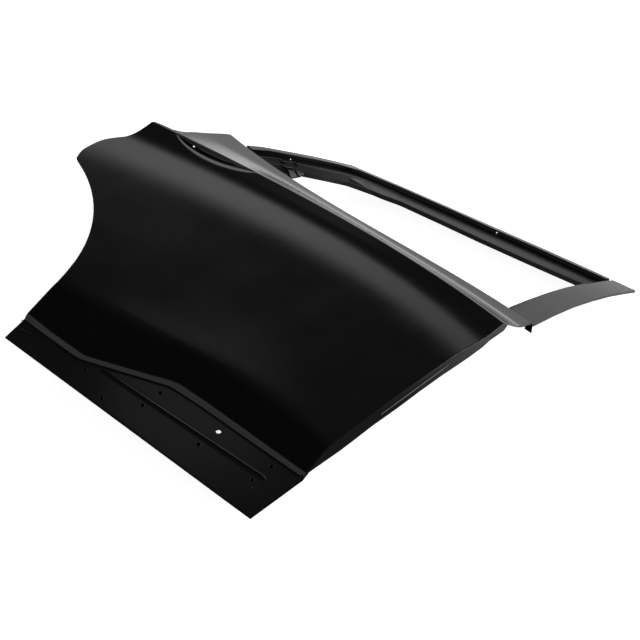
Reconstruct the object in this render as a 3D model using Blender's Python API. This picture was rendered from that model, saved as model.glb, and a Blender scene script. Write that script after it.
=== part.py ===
"""Bare shell of a right-hand rear door for a sport utility car: pressed skin, inner panel, window frame and
the reinforcements between them. Metres. The door is drawn in its own axes, X forward, Y up the door and Z
outboard, and an empty then lays it down inner side first, the way it rests on a floor."""
import math

import bmesh
import bpy
from mathutils import Matrix, Vector

for old in list(bpy.data.objects):
    bpy.data.objects.remove(old, do_unlink=True)

# Overall sizes
sill_length = 0.693          # bottom edge, rear foot to front corner
tail_reach = 0.303           # how far the rear edge goes behind the rear foot
belt_height = 0.822          # sill to window line
roof_height = 1.191          # sill to the top of the frame, at the front
arch_radius = 0.408          # wheel arch
arch_back = 0.409            # arch centre behind the rear foot
arch_up = 0.059              # arch centre above the sill
tip_height = 0.448           # where the arch meets the rear edge
bulge = 0.050                # how far the body side stands out from the sill
front_lean = 0.0075          # how far the front edge leans back up to the belt

# Sheet and joints
skin_wall = 0.0008
panel_wall = 0.0008
frame_wall = 0.0012
hem_gap = 0.0005             # each side of the flange inside the hem
hem_width = 0.012            # flat rim that the hem and the flange share
seat_gap = 0.0004            # between pieces that are welded face to face
belt_return = 0.012          # skin turned in at the window line
hem_back_share = 0.5         # of the rim that the folded edge covers
flange_out_share = 0.14      # where the inner panel's flange starts and ends on the rim
flange_in_share = 0.80
belt_end_share = 0.25        # of the last row that the inner panel stops short of the window line
shut_slope = 0.4             # steepest turn of the rim along the rear shut line
foot_set_back = 0.0105       # rear foot behind the front of the arch

# Fineness of the surfaces
skin_columns = 26
rim_fade = 12                # how soon the rows turn from the rim's direction to their own
bore_sides = 12
corner_steps = 4
smooth_angle = 32            # degrees; sharper edges stay sharp
merge_distance = 0.0001
search_steps = 40            # halvings when a crossing is looked for

# Skirt recess, step and bead
step_low_y = 0.069           # step's top edge behind, by the arch
step_high_y = 0.152          # and in front
step_start = 0.150           # where it starts to climb
step_run = 0.210             # how far along it climbs
step_width = 0.014
bead_rear = (0.206, 0.081)
bead_front = (0.642, 0.096)
bead_half = 0.004
bead_rise = 0.0016
bead_clear = 0.010           # bead's line stays this far under the step
bead_end = 0.012             # length over which it fades in
clip_hole_radius = 0.0042
clip_hole_places = (
    (0.014, 0.038), (0.033, 0.047), (0.180, 0.052), (0.264, 0.019), (0.333, 0.063), (0.332, 0.112),
    (0.485, 0.120), (0.485, 0.067), (0.625, 0.073), (0.643, 0.052), (0.626, 0.124),
)

# Handle pocket, under the crease at the rear
pocket_rear = -0.220
pocket_front = -0.014
pocket_width = 0.034
pocket_depth = 0.017
pocket_rim = 0.009           # width of the rows that form the pocket, where there is none
pocket_low_share = 0.68      # of its width below the crease, where its floor starts
pocket_high_share = 0.22     # and where it ends
pocket_lean = 0.8            # powers that give the leaf its outline
pocket_round = 0.7

# Inner panel
land_depth = 0.010           # height of the seal land above the sill plane
panel_depth = 0.055          # inboard face below the sill plane
flange_foot = 0.015          # where the flange turns down
land_in_front = 0.042
land_in_sill = 0.044
land_in_rear = 0.038
face_in_front = 0.062
face_in_sill = 0.058
face_in_rear = 0.054
sill_land_drop = 0.006
arch_land_drop = 0.022       # land stays this close to the skin over the top of the arch
arch_set_in = 0.024          # and its wall stands this much further in
arch_low_share = 0.27        # of belt_height where that starts
arch_high_share = 0.545      # and where it ends
arch_blend_share = 0.05
front_land_rise = 0.014      # land steps out at the front top corner
front_step_share = 0.845
front_step_blend = 0.006

# Window frame, on the curved surface of the side glass
glass_belt_z = -0.002        # side glass at the window line
glass_belt_y = 0.815
glass_roof_front = (0.687, 1.191, -0.117)
glass_roof_rear = (-0.049, 1.070, -0.128)
glass_barrel = 0.014
frame_foot_rise = 0.0045     # frame starts this far above the window line
mitre_gap = 0.0003
rail_slot = 0.012            # depth of the glass slot
rail_face = 0.023            # depth of the face that looks at the window
rail_depth = 0.032
rail_return = 0.006
rail_lap = 0.0025
flange_share = 0.30          # of the rail's width that the outer flange covers
plate_fold = 0.008
plate_fold_front = 0.005
pillar_width = 0.018
pillar_depth = 0.026
pillar_set_back = 0.0032     # from the plate's window edge
pillar_under = 0.0022        # under the plate's face
pillar_lip = 0.008
run_wall = 0.0008
run_width = 0.012            # glass run channels
run_depth = 0.018
run_lap = 0.002              # glass run beside the fold of the pillar plate

# Rear upright: outer edge then window edge as (x, y), x in shares of sill_length and y of roof_height, and the
# share of the width that the glass slot takes
upright_shares = (
    (-0.1905, 0.6853, -0.1039, 0.6853, 0.62), (-0.1645, 0.7130, -0.0780, 0.7170, 0.66),
    (-0.1130, 0.7580, -0.0260, 0.7573, 0.74), (-0.0780, 0.7980, 0.0145, 0.7943, 0.78),
    (-0.0505, 0.8330, 0.0490, 0.8280, 0.78), (-0.0245, 0.8750, 0.1140, 0.8540, 0.60),
)
# Top rail: the same, from the corner forward
header_shares = (
    (0.0400, 0.8895, 0.1500, 0.8620, 0.48), (0.1385, 0.9085, 0.2006, 0.8805, 0.42),
    (0.3074, 0.9310, 0.3400, 0.8960, 0.40), (0.4900, 0.9520, 0.4964, 0.9105, 0.40),
    (0.6667, 0.9722, 0.6710, 0.9310, 0.40), (0.8340, 0.9880, 0.8360, 0.9520, 0.40),
    (0.8985, 0.9930, 0.8985, 0.9600, 0.40),
)
# Pillar plate: height, front edge and window edge in the same shares
plate_shares = (
    (0.6950, 0.9930, 0.9030), (0.7570, 0.9900, 0.9050), (0.8150, 0.9870, 0.9060), (0.8700, 0.9870, 0.9070),
    (0.9250, 0.9880, 0.9090), (0.9700, 0.9900, 0.9100), (1.0000, 0.9915, 0.9120),
)

# Reinforcements
strap_wall = 0.0014
hinge_wall = 0.0030
beam_radius = 0.0135
beam_wall = 0.002
beam_sides = 16
beam_z = 0.0257
beam_rear_shares = (0.015, 0.452)      # ends, in shares of sill_length and belt_height
beam_front_shares = (0.938, 0.560)
beam_bracket_half = 0.028
beam_bracket_reach = 0.080
beam_bracket_drop = 0.006
hinge_half = 0.036
hinge_foot = 0.030
hinge_upper_share = 0.700
hinge_lower_share = 0.340
check_share = 0.520
check_half = 0.024
bolt_spread = 0.019
bolt_radius = 0.0045
nut_half_flats = 0.0075
nut_height = 0.007
nut_down = 0.024             # bolt line below the seal land
latch_low_share = 0.615
latch_high_share = 0.662
latch_foot = 0.034
latch_gap = 0.0030
handle_plate_z = 0.026
handle_plate_half = 0.019
handle_plate_lip = 0.0156
rear_foot_rises = (0.034, 0.020, -0.006, -0.030, -0.100)   # up from the window line
front_foot_rises = (0.050, 0.036, 0.006, -0.026, -0.096)
tab_set_in = 0.006
tab_width = 0.019
tab_high = 0.036
tab_low = 0.012
tab_deep = 0.0125
tab_reach = 0.009
tab_drop = 0.010
rear_foot_x = -0.104
rear_foot_half = 0.018
front_foot_half = 0.008
front_foot_shift = 0.034
end_cut_share = 0.06         # pillar ends this share of its last row below the roof line
run_foot_share = 0.600
run_foot_z = 0.010
rear_run_foot_x = -0.062
rear_run_top_x = -0.090
rear_run_foot_share = 0.560
rear_run_foot_z = 0.006
rear_run_top_z = -0.012
gusset_drop = 0.017
gusset_half = 0.009
gusset_reach = 0.036
gusset_bend = 0.002
gusset_width = 0.094
gusset_height = 0.070
corner_gusset_depth = 0.026
corner_gusset_seat = 0.0013   # beside the window edge of the upright
corner_gusset_low = 0.017
corner_gusset_high = 0.066
corner_gusset_shares = ((0.99, 0.10), (0.97, 0.34), (0.80, 0.56), (0.74, 0.78), (0.60, 0.90))
belt_rail_rear_x = -0.105
belt_rail_front_x = 0.600
belt_rail_rows = 12
belt_rail_top = 0.0018
belt_rail_low = 0.038
belt_rail_lip = 0.004
belt_rail_deep = 0.018
belt_rail_hem = 0.006
belt_inner_drop = 0.010
belt_inner_step = 0.030
belt_inner_foot = 0.060
belt_inner_z = -0.040
belt_inner_lip = 0.008
belt_inner_rear_x = -0.030
belt_inner_front_x = 0.585
bracket_on_land = 0.024
rear_bracket_x = 0.002
rear_bracket_foot = 0.021
rear_bracket_reach = 0.063
nut_sides = 6
bore_length = 0.019

# Holes of the inner panel, in shares of sill_length and belt_height: low corner, high corner, corner radius of the
# smaller side
panel_opening_shares = (
    (0.100, 0.430, 0.790, 0.840, 0.28), (0.560, 0.135, 0.820, 0.355, 0.50), (-0.290, 0.620, -0.205, 0.780, 0.30),
    (0.170, 0.170, 0.400, 0.330, 0.25),
)
clip_shares = ((0.060, 0.110), (0.480, 0.100), (0.860, 0.140), (0.862, 0.470), (0.862, 0.800), (-0.130, 0.560),
               (0.010, 0.300), (0.040, 0.700))

# Pressed lines of the skin: height at the tail, the rear foot, mid sill and the front, in shares of belt_height
line_height_shares = {
    "flare": (0.183, 0.183, 0.244, 0.249),
    "band": (0.292, 0.292, 0.292, 0.292),
    "body": (0.517, 0.468, 0.486, 0.486),
    "shoulder": (0.592, 0.669, 0.718, 0.688),
    "groove": (0.731, 0.803, 0.843, 0.809),
    "crease": (0.805, 0.859, 0.894, 0.883),
    "waist": (0.929, 0.928, 0.952, 0.954),
    "belt": (1.016, 0.973, 0.989, 1.000),
}
# How far each line stands out at the same four places, in shares of bulge
line_bulge_shares = {
    "sill": (0.0, 0.0, 0.0, 0.0),
    "low": (0.0, 0.0, 0.06, 0.11),
    "top": (0.30, 0.30, 0.40, 0.46),
    "flare": (1.10, 1.10, 1.04, 0.90),
    "band": (1.18, 1.18, 1.10, 0.94),
    "body": (1.24, 1.22, 1.20, 0.99),
    "shoulder": (1.20, 1.22, 1.22, 1.01),
    "groove": (0.96, 0.96, 1.00, 0.79),
    "crease": (1.16, 1.16, 1.18, 1.18),
    "waist": (0.48, 0.38, 0.30, 0.26),
    "belt": (0.08, 0.06, 0.06, 0.04),
}
lines = ("sill", "low", "top", "flare", "band", "body", "shoulder", "groove", "crease", "waist", "belt")
# Half width over which each line is rounded, in shares of belt_height
line_round_shares = (0.004, 0.004, 0.004, 0.020, 0.022, 0.050, 0.050, 0.026, 0.006, 0.022, 0.004)
# Samples that round a line: place in half widths, and weight
round_taps = ((-1.0, 0.10), (-0.5, 0.25), (0.0, 0.30), (0.5, 0.25), (1.0, 0.10))
# Rows of the surface: whole numbers are the pressed lines, parts of one lie between two
rows_under_tip = (1, 2, 2.5, 3, 4, 4.3, 4.55, 4.78, 4.95, 5.12)
rows_over_tip = (5.6, 5.8, 6, 6.3, 6.65, 7, 7.4)
rows_over_crease = (8.2, 8.6, 9, 9.5, 10)
# Rear shut line above the arch, in shares of tail_reach behind the foot and of belt_height up
shut_shares = (
    (0.941, 0.545), (1.000, 0.610), (0.997, 0.656), (0.957, 0.693), (0.924, 0.718), (0.911, 0.759),
    (0.914, 0.800), (0.790, 0.823), (0.703, 0.850), (0.683, 0.885), (0.644, 0.944), (0.614, 0.977),
    (0.574, 1.000),
)

# Finishes: colour, roughness and how metallic
finishes = {
    "primer": ((0.012, 0.012, 0.013), 0.35, 0.0),
    "beam_primer": ((0.016, 0.016, 0.017), 0.35, 0.0),
    "zinc": ((0.42, 0.42, 0.40), 0.35, 1.0),
}
paint = {}


def material(name):
    """One painted or bare finish, shared by the pieces that have it."""
    if name not in paint:
        colour, rough, metal = finishes[name]
        made = bpy.data.materials.new(name)
        made.use_nodes = True
        shader = made.node_tree.nodes["Principled BSDF"]
        shader.inputs["Base Color"].default_value = (*colour, 1)
        shader.inputs["Roughness"].default_value = rough
        shader.inputs["Metallic"].default_value = metal
        paint[name] = made
    return paint[name]


door = bpy.data.objects.new("door_lay", None)
bpy.context.collection.objects.link(door)


def add(name, mesh, finish="primer", smooth=False):
    piece = bpy.data.objects.new(name, mesh)
    bpy.context.collection.objects.link(piece)
    piece.parent = door
    mesh.materials.append(material(finish))
    if smooth:
        mesh.shade_smooth()
        mesh.set_sharp_from_angle(angle=math.radians(smooth_angle))
    return piece


def to_mesh(name, work):
    bmesh.ops.recalc_face_normals(work, faces=work.faces)
    mesh = bpy.data.meshes.new(name)
    work.to_mesh(mesh)
    work.free()
    return mesh


def smooth_step(t):
    t = min(1.0, max(0.0, t))
    return t * t * (3 - 2 * t)


def through(stations, values, x):
    """Smooth curve through a few stations, level at neither end."""
    n = len(stations)
    i = max(0, min(n - 2, sum(1 for s in stations[1:-1] if x >= s)))
    slopes = []
    for k in (i, i + 1):
        a, b = max(0, k - 1), min(n - 1, k + 1)
        slopes.append((values[b] - values[a]) / (stations[b] - stations[a]))
    span = stations[i + 1] - stations[i]
    t = (x - stations[i]) / span
    if t < 0:
        return values[i] + slopes[0] * (x - stations[i])
    if t > 1:
        return values[i + 1] + slopes[1] * (x - stations[i + 1])
    h = (1 + 2 * t) * (1 - t) ** 2, t * (1 - t) ** 2, t * t * (3 - 2 * t), t * t * (t - 1)
    return h[0] * values[i] + h[1] * span * slopes[0] + h[2] * values[i + 1] + h[3] * span * slopes[1]


def polyline(points, y):
    """X on a line of (x, y) points that climbs in y."""
    for (xa, ya), (xb, yb) in zip(points, points[1:]):
        if y <= yb:
            return xa + (xb - xa) * (y - ya) / (yb - ya)
    return xb


stations_x = (-tail_reach, 0.0, sill_length / 2, sill_length)
shut_line = [(-a * tail_reach, b * belt_height) for a, b in shut_shares]


def line_y(name, x):
    """Height of a pressed line at x."""
    if name == "sill":
        return 0.0
    if name in ("low", "top"):
        top = step_low_y + (step_high_y - step_low_y) * smooth_step((x - step_start) / step_run)
        return top if name == "top" else top - step_width
    return belt_height * through(stations_x, line_height_shares[name], x)


def line_z(name, x):
    return bulge * through(stations_x, line_bulge_shares[name], x)


def row_y(row, x):
    """Height of a row at x: whole rows are the pressed lines, parts of one lie between two."""
    i = min(int(row), len(lines) - 2)
    low, high = line_y(lines[i], x), line_y(lines[i + 1], x)
    return low + (high - low) * (row - i)


def skin_z(x, y):
    """How far the skin's outer face stands out at a place of the door."""
    ys = [line_y(n, x) for n in lines]
    zs = [line_z(n, x) for n in lines]

    def straight(v):
        for i in range(len(ys) - 1):
            if v <= ys[i + 1]:
                break
        return zs[i] + (zs[i + 1] - zs[i]) * (v - ys[i]) / (ys[i + 1] - ys[i])

    i = 0
    while i < len(ys) - 2 and y > ys[i + 1]:
        i += 1
    part = min(1.0, max(0.0, (y - ys[i]) / (ys[i + 1] - ys[i])))
    half = belt_height * (line_round_shares[i] * (1 - part) + line_round_shares[i + 1] * part)
    return sum(weight * straight(y + half * tap) for tap, weight in round_taps)


foot_x = -arch_back + arch_radius - foot_set_back
foot_top = arch_up + math.sqrt(arch_radius ** 2 - (foot_x + arch_back) ** 2)


def to_line(points, x, y):
    """Distance from a place to a line of points."""
    best = math.inf
    for (xa, ya), (xb, yb) in zip(points, points[1:]):
        dx, dy = xb - xa, yb - ya
        t = min(1.0, max(0.0, ((x - xa) * dx + (y - ya) * dy) / (dx * dx + dy * dy)))
        best = min(best, math.hypot(x - xa - t * dx, y - ya - t * dy))
    return best


def rear_x(y, inset=0.0):
    """Rear edge of the door at a height, or a line that far inside it."""
    if y < foot_top:
        return foot_x * min(1.0, y / arch_up) + inset
    if y < tip_height:
        edge = -arch_back + math.sqrt(arch_radius ** 2 - (y - arch_up) ** 2)
    else:
        edge = polyline(shut_line, y)
    if not inset:
        return edge
    low, high = edge, edge + belt_height
    for _ in range(search_steps):
        x = (low + high) / 2
        clear = min(math.hypot(x + arch_back, y - arch_up) - arch_radius, to_line(shut_line, x, y))
        low, high = (x, high) if clear < inset else (low, x)
    return high


def front_x(y, inset=0.0):
    return sill_length - front_lean * y / belt_height - inset


def pocket_share(x):
    """Zero outside the handle pocket, one at its widest."""
    t = (x - pocket_rear) / (pocket_front - pocket_rear)
    return 0.0 if t <= 0 or t >= 1 else math.sin(math.pi * t ** pocket_lean) ** pocket_round


def bead_y(x):
    """Bead's line, kept under the step where the skirt is narrow."""
    t = (x - bead_rear[0]) / (bead_front[0] - bead_rear[0])
    return min(bead_rear[1] + (bead_front[1] - bead_rear[1]) * t, line_y("low", x) - bead_clear)


def bead_share(x):
    return smooth_step(min(x - bead_rear[0], bead_front[0] - x) / bead_end)


def rows_of_skin():
    """Every row as (height at x, extra height of the surface at x)."""
    flat = lambda x: 0.0
    rows = [(lambda x: 0.0, flat), (lambda x: hem_width, flat)]
    rows.append((lambda x: min(line_y("low", x) / 2, (hem_width + bead_y(x)) / 2), flat))
    for side in (-1, 0, 1):
        rows.append((lambda x, s=side: bead_y(x) + s * bead_half,
                     lambda x, s=side: 0.0 if s else bead_rise * bead_share(x)))
    tip = lines.index("body") + (tip_height - line_y("body", -tail_reach)) / (
        line_y("shoulder", -tail_reach) - line_y("body", -tail_reach))
    for row in (*rows_under_tip, tip, *rows_over_tip):
        rows.append((lambda x, r=row: row_y(r, x), flat))
    crease = lambda x: line_y("crease", x)
    width = lambda x: pocket_rim + (pocket_width - pocket_rim) * pocket_share(x)
    deep = lambda x: -pocket_depth * pocket_share(x)
    rows.append((lambda x: crease(x) - width(x), flat))
    rows.append((lambda x: crease(x) - width(x) * pocket_low_share, deep))
    rows.append((lambda x: crease(x) - width(x) * pocket_high_share, deep))
    rows.append((crease, flat))
    for row in rows_over_crease:
        rows.append((lambda x, r=row: row_y(r, x), flat))
    return rows


def meet_rear(height):
    """X where a row meets the rear edge."""
    low, high = -sill_length / 2, sill_length / 2
    for _ in range(search_steps):
        mid = (low + high) / 2
        low, high = (mid, high) if mid < rear_x(height(mid)) else (low, mid)
    return (low + high) / 2


def skin_grid(columns):
    """Rows of points from the rear edge to the front edge, each with a rim of hem_width."""
    rows = rows_of_skin()
    grid = []
    for k, (height, extra) in enumerate(rows):
        xr = meet_rear(height)
        yr = height(xr)
        step = hem_width / 2
        slope = (rear_x(yr + step) - rear_x(max(0.0, yr - step))) / (yr + step - max(0.0, yr - step))
        if yr > tip_height:
            slope = min(slope, shut_slope)
        size = math.hypot(1, slope)
        if k < 2 or k == len(rows) - 1:
            rim = (xr + hem_width, height(xr + hem_width))
        else:
            rim = (xr + hem_width / size, yr - slope * hem_width / size)
        xf = front_x(height(sill_length))
        last = front_x(height(xf), hem_width)
        line = [Vector((xr, yr, skin_z(xr, yr)))]
        for c in range(columns + 1):
            t = c / columns
            x = rim[0] + (last - rim[0]) * t
            fade = (1 - t) ** rim_fade
            y = height(x) * (1 - fade) + (rim[1] + height(x) - height(rim[0])) * fade
            line.append(Vector((x, y, skin_z(x, y) + extra(x) * (1 - fade))))
        y = height(xf)
        line.append(Vector((xf, y, skin_z(xf, y))))
        grid.append(line)
    return grid


def rim_chain(grid):
    """Stations round the hemmed rim, belt at the rear to belt at the front, as (edge point, rim point)."""
    chain = [(line[0], line[1]) for line in grid[:1:-1]]
    chain.append((grid[1][0], grid[1][1]))
    chain.append((grid[0][0], grid[1][1]))
    chain += [(grid[0][c], grid[1][c]) for c in range(1, len(grid[0]) - 1)]
    chain.append((grid[0][-1], grid[1][-2]))
    chain += [(line[-1], line[-2]) for line in grid[1:]]
    return chain


grid = skin_grid(skin_columns)
chain = rim_chain(grid)
hem_fold = 2 * skin_wall + panel_wall + 2 * hem_gap


def grid_normals():
    """Outward normal at each point of the grid."""
    work = bmesh.new()
    verts = [[work.verts.new(p) for p in line] for line in grid]
    for a, b in zip(verts, verts[1:]):
        for k in range(len(a) - 1):
            work.faces.new((a[k], a[k + 1], b[k + 1], b[k]))
    work.normal_update()
    found = {tuple(v.co): v.normal.copy() for line in verts for v in line}
    work.free()
    return found


normals = grid_normals()


def under(point, other, depth):
    """Place that far behind the skin, between an edge point and a rim point."""
    def lowered(p):
        return p - normals[tuple(p)] * depth
    return lambda share: lowered(point).lerp(lowered(other), share)


def make_skin():
    work = bmesh.new()
    verts = [[work.verts.new(p) for p in line] for line in grid]
    for a, b in zip(verts, verts[1:]):
        for k in range(len(a) - 1):
            work.faces.new((a[k], a[k + 1], b[k + 1], b[k]))
    at = {tuple(p): v for line, row in zip(grid, verts) for p, v in zip(line, row)}
    last = None
    for edge, rim in chain:
        folded = under(edge, rim, hem_fold)
        here = (at[tuple(edge)], work.verts.new(folded(0)), work.verts.new(folded(hem_back_share)))
        if last:
            work.faces.new((last[0], here[0], here[1], last[1]))
            work.faces.new((last[1], here[1], here[2], last[2]))
        last = here
    turned = [work.verts.new(p + Vector((0, skin_wall, -belt_return))) for p in grid[-1][1:-1]]
    top = verts[-1][1:-1]
    for k in range(len(top) - 1):
        work.faces.new((top[k], top[k + 1], turned[k + 1], turned[k]))
    mesh = to_mesh("outer_skin", work)
    skin = add("outer_skin", mesh, smooth=True)
    wall = skin.modifiers.new("wall", "SOLIDIFY")
    wall.thickness = skin_wall
    wall.offset = -1
    wall.use_even_offset = True
    return skin


def cylinder(name, radius, length, place, sides=bore_sides, turn=None):
    work = bmesh.new()
    bmesh.ops.create_cone(work, cap_ends=True, segments=sides, radius1=radius, radius2=radius, depth=length,
                          matrix=Matrix.Translation(place) @ (turn or Matrix.Identity(4)))
    return to_mesh(name, work)


def cut(piece, mesh):
    """Cuts a shape out of a piece."""
    cutter = bpy.data.objects.new(piece.name + "_cutter", mesh)
    bpy.context.collection.objects.link(cutter)
    cutter.parent = door
    cutter.hide_render = True
    cutter.display_type = "WIRE"
    hole = piece.modifiers.new("hole", "BOOLEAN")
    hole.operation = "DIFFERENCE"
    hole.solver = "EXACT"
    hole.object = cutter


def join_meshes(name, meshes):
    work = bmesh.new()
    for mesh in meshes:
        work.from_mesh(mesh)
    return to_mesh(name, work)


def rings_mesh(name, rings):
    """Closed body through rings of points, with flat ends."""
    work = bmesh.new()
    loops = [[work.verts.new(p) for p in ring] for ring in rings]
    for a, b in zip(loops, loops[1:]):
        for k in range(len(a)):
            j = (k + 1) % len(a)
            work.faces.new((a[k], a[j], b[j], b[k]))
    work.faces.new(loops[0])
    work.faces.new(loops[-1])
    return to_mesh(name, work)


def thick(path, wall):
    """Outline of a bent strip of sheet, drawn along the middle of its thickness."""
    ways = []
    for (ua, va), (ub, vb) in zip(path, path[1:]):
        size = math.hypot(ub - ua, vb - va)
        ways.append((-(vb - va) / size, (ub - ua) / size))
    left, right = [], []
    for i, (u, v) in enumerate(path):
        (pu, pv), (qu, qv) = ways[max(0, i - 1)], ways[min(i, len(ways) - 1)]
        scale = wall / 2 / (1 + pu * qu + pv * qv) if 0 < i < len(path) - 1 else wall / 4
        du, dv = (pu + qu) * scale, (pv + qv) * scale
        left.append((u + du, v + dv))
        right.append((u - du, v - dv))
    return left + right[::-1]


def fold(name, path, wall, low, high, finish="primer"):
    """Piece bent from sheet along a path of (y, z), between two places along the door."""
    outline = thick(path, wall)
    return add(name, rings_mesh(name, [[Vector((x, y, z)) for y, z in outline] for x in (low, high)]), finish)


def fold_up(name, path, wall, low, high, finish="primer"):
    """The same along a path of (x, z), between two heights; the path is a function of the height."""
    return add(name, rings_mesh(name, [[Vector((x, y, z)) for x, z in thick(path(y), wall)]
                                       for y in (low, high)]), finish)


def strap(name, places, wall, finish="primer"):
    """Flat strap through pairs of edge points."""
    ways = []
    for (a, b), (c, d) in zip(places, places[1:]):
        ways.append(((c + d) / 2 - (a + b) / 2).cross(b - a).normalized())
    rings = []
    for i, (a, b) in enumerate(places):
        p, q = ways[max(0, i - 1)], ways[min(i, len(ways) - 1)]
        lift = (p + q) * (wall / 2 / (1 + p.dot(q)))
        rings.append([a + lift, b + lift, b - lift, a - lift])
    return add(name, rings_mesh(name, rings), finish)


def rounded_prism(name, low, high, radius, base, top):
    """Upright block with round corners."""
    ring = []
    corners = ((high[0] - radius, high[1] - radius), (low[0] + radius, high[1] - radius),
               (low[0] + radius, low[1] + radius), (high[0] - radius, low[1] + radius))
    for quarter, (x, y) in enumerate(corners):
        for step in range(corner_steps + 1):
            turn = (quarter + step / corner_steps) * math.pi / 2
            ring.append((x + radius * math.cos(turn), y + radius * math.sin(turn)))
    return rings_mesh(name, [[Vector((x, y, z)) for x, y in ring] for z in (base, top)])


skin = make_skin()
cut(skin, join_meshes("clip_holes", [
    cylinder("clip_hole", clip_hole_radius, bulge, Vector((x, y, skin_z(x, y)))) for x, y in clip_hole_places]))


def panel_loops():
    """Loops of the inner panel, flange first, each with one point for each station of the rim."""
    held = [under(edge, rim, skin_wall + hem_gap) for edge, rim in chain]
    outer = [place(flange_out_share) for place in held]
    inner = [place(flange_in_share) for place in held]
    stations = [edge for edge, rim in chain]
    for loop in (outer, inner, stations):
        loop[0] = loop[0].lerp(loop[1], belt_end_share)
        loop[-1] = loop[-1].lerp(loop[-2], belt_end_share)
    loops = [outer, inner]

    def over_arch(edge):
        """One over the top of the wheel arch, zero elsewhere."""
        if edge.x > 0:
            return 0.0
        blend = arch_blend_share * belt_height
        up = smooth_step((edge.y - arch_low_share * belt_height) / blend)
        return up * (1 - smooth_step((edge.y - arch_high_share * belt_height) / blend))

    def ring(front, sill, rear, depth):
        points = []
        for edge in stations:
            y = max(edge.y, sill)
            low, high = rear_x(y, rear + arch_set_in * over_arch(edge)), front_x(y, front)
            x = min(max(edge.x, low), high)
            points.append(Vector((x, y, depth(edge))))
        return points

    def land(edge):
        z = min(land_depth, edge.z - sill_land_drop)
        z += (edge.z - arch_land_drop - z) * over_arch(edge)
        if edge.x > sill_length / 2:
            z = min(z + front_land_rise * smooth_step((edge.y - front_step_share * belt_height) / front_step_blend),
                    edge.z - sill_land_drop)
        return z

    foot = []
    for (edge, rim), place in zip(chain, stations):
        p = place + (rim - edge) * (flange_foot / hem_width)
        y = max(p.y, flange_foot)
        low = rear_x(y, flange_foot) if y < foot_top else p.x
        foot.append(Vector((min(max(p.x, low), front_x(y, flange_foot)), y, land(edge))))
    loops.append(foot)
    loops.append(ring(land_in_front, land_in_sill, land_in_rear, land))
    loops.append(ring(face_in_front, face_in_sill, face_in_rear, lambda edge: -panel_depth))
    return loops


def make_panel():
    loops = panel_loops()
    work = bmesh.new()
    rings = [[work.verts.new(p) for p in loop] for loop in loops]
    for a, b in zip(rings, rings[1:]):
        for k in range(len(a) - 1):
            work.faces.new((a[k], a[k + 1], b[k + 1], b[k]))
    work.faces.new(rings[-1])
    bmesh.ops.remove_doubles(work, verts=work.verts, dist=merge_distance)
    bmesh.ops.dissolve_degenerate(work, edges=work.edges, dist=merge_distance)
    mesh = to_mesh("inner_panel", work)
    if mesh.polygons[0].normal.z < 0:
        mesh.flip_normals()
    panel = add("inner_panel", mesh, smooth=True)
    wall = panel.modifiers.new("wall", "SOLIDIFY")
    wall.thickness = panel_wall
    wall.offset = -1
    wall.use_even_offset = True
    return panel


panel = make_panel()


# Side glass surface, which the window frame follows
def glass_z(x, y):
    (xa, ya, za), (xb, yb, zb) = glass_roof_rear, glass_roof_front
    along = (x - xa) / (xb - xa)
    roof_y, roof_z = ya + (yb - ya) * along, za + (zb - za) * along
    t = (y - glass_belt_y) / (roof_y - glass_belt_y)
    return glass_belt_z + (roof_z - glass_belt_z) * t + glass_barrel * (1 - (2 * t - 1) ** 2)


def on_glass(x, y, depth=0.0, upright=False):
    """Place on the side glass surface, or that far under it."""
    step = frame_foot_rise
    across = (glass_z(x + step, y) - glass_z(x - step, y)) / (2 * step)
    up = (glass_z(x, y + step) - glass_z(x, y - step)) / (2 * step)
    normal = Vector((0, 0, 1)) if upright else Vector((-across, -up, 1)).normalized()
    return Vector((x, y, glass_z(x, y))) - normal * depth


def above_belt(x, rise):
    return line_y("belt", x) + rise


def rail_path(width, slot):
    """Section of the window frame's rail: across it towards the window, then its depth."""
    return ((flange_share * width, 0.0), (0.0, 0.0), (0.0, rail_slot), (slot * width, rail_slot),
            (width, rail_face), (width, rail_depth), (rail_return, rail_depth), (0.0, rail_depth - rail_return),
            (0.0, rail_slot + rail_lap))


def rail_ring(outer, inner, slot, upright=False, shift=Vector((0, 0, 0))):
    a, b = on_glass(*outer), on_glass(*inner)
    width = (b - a).length
    across = (b - a) / width
    middle = ((outer[0] + inner[0]) / 2, (outer[1] + inner[1]) / 2)
    normal = on_glass(*middle, -1.0, upright) - on_glass(*middle)
    return [a + shift + across * u - normal * v for u, v in thick(rail_path(width, slot), frame_wall)]


def in_shares(x, y):
    return (x * sill_length, y * roof_height)


mitre = upright_shares[-1]
corner_outer, corner_inner = in_shares(*mitre[:2]), in_shares(*mitre[2:4])
shift = Vector((corner_outer[1] - corner_inner[1], corner_inner[0] - corner_outer[0], 0)).normalized() * mitre_gap / 2

rings = []
for k, (xo, yo, xi, yi, slot) in enumerate(upright_shares):
    outer, inner = in_shares(xo, yo), in_shares(xi, yi)
    if k == 0:
        outer = (outer[0], above_belt(outer[0], frame_foot_rise))
        inner = (inner[0], above_belt(inner[0], frame_foot_rise))
    rings.append(rail_ring(outer, inner, slot, upright=(k == 0),
                           shift=-shift if k == len(upright_shares) - 1 else Vector((0, 0, 0))))
add("frame_rear_upright", rings_mesh("frame_rear_upright", rings), smooth=True)

rings = [rail_ring(corner_outer, corner_inner, mitre[4], shift=shift)]
for xo, yo, xi, yi, slot in header_shares:
    rings.append(rail_ring(in_shares(xo, yo), in_shares(xi, yi), slot))
add("frame_header", rings_mesh("frame_header", rings), smooth=True)


def edges_at(k, rows):
    """Front edge and window edge of the pillar plate at one of its rows."""
    height, front, back = rows[k]
    return in_shares(front, height), in_shares(back, height)


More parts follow.
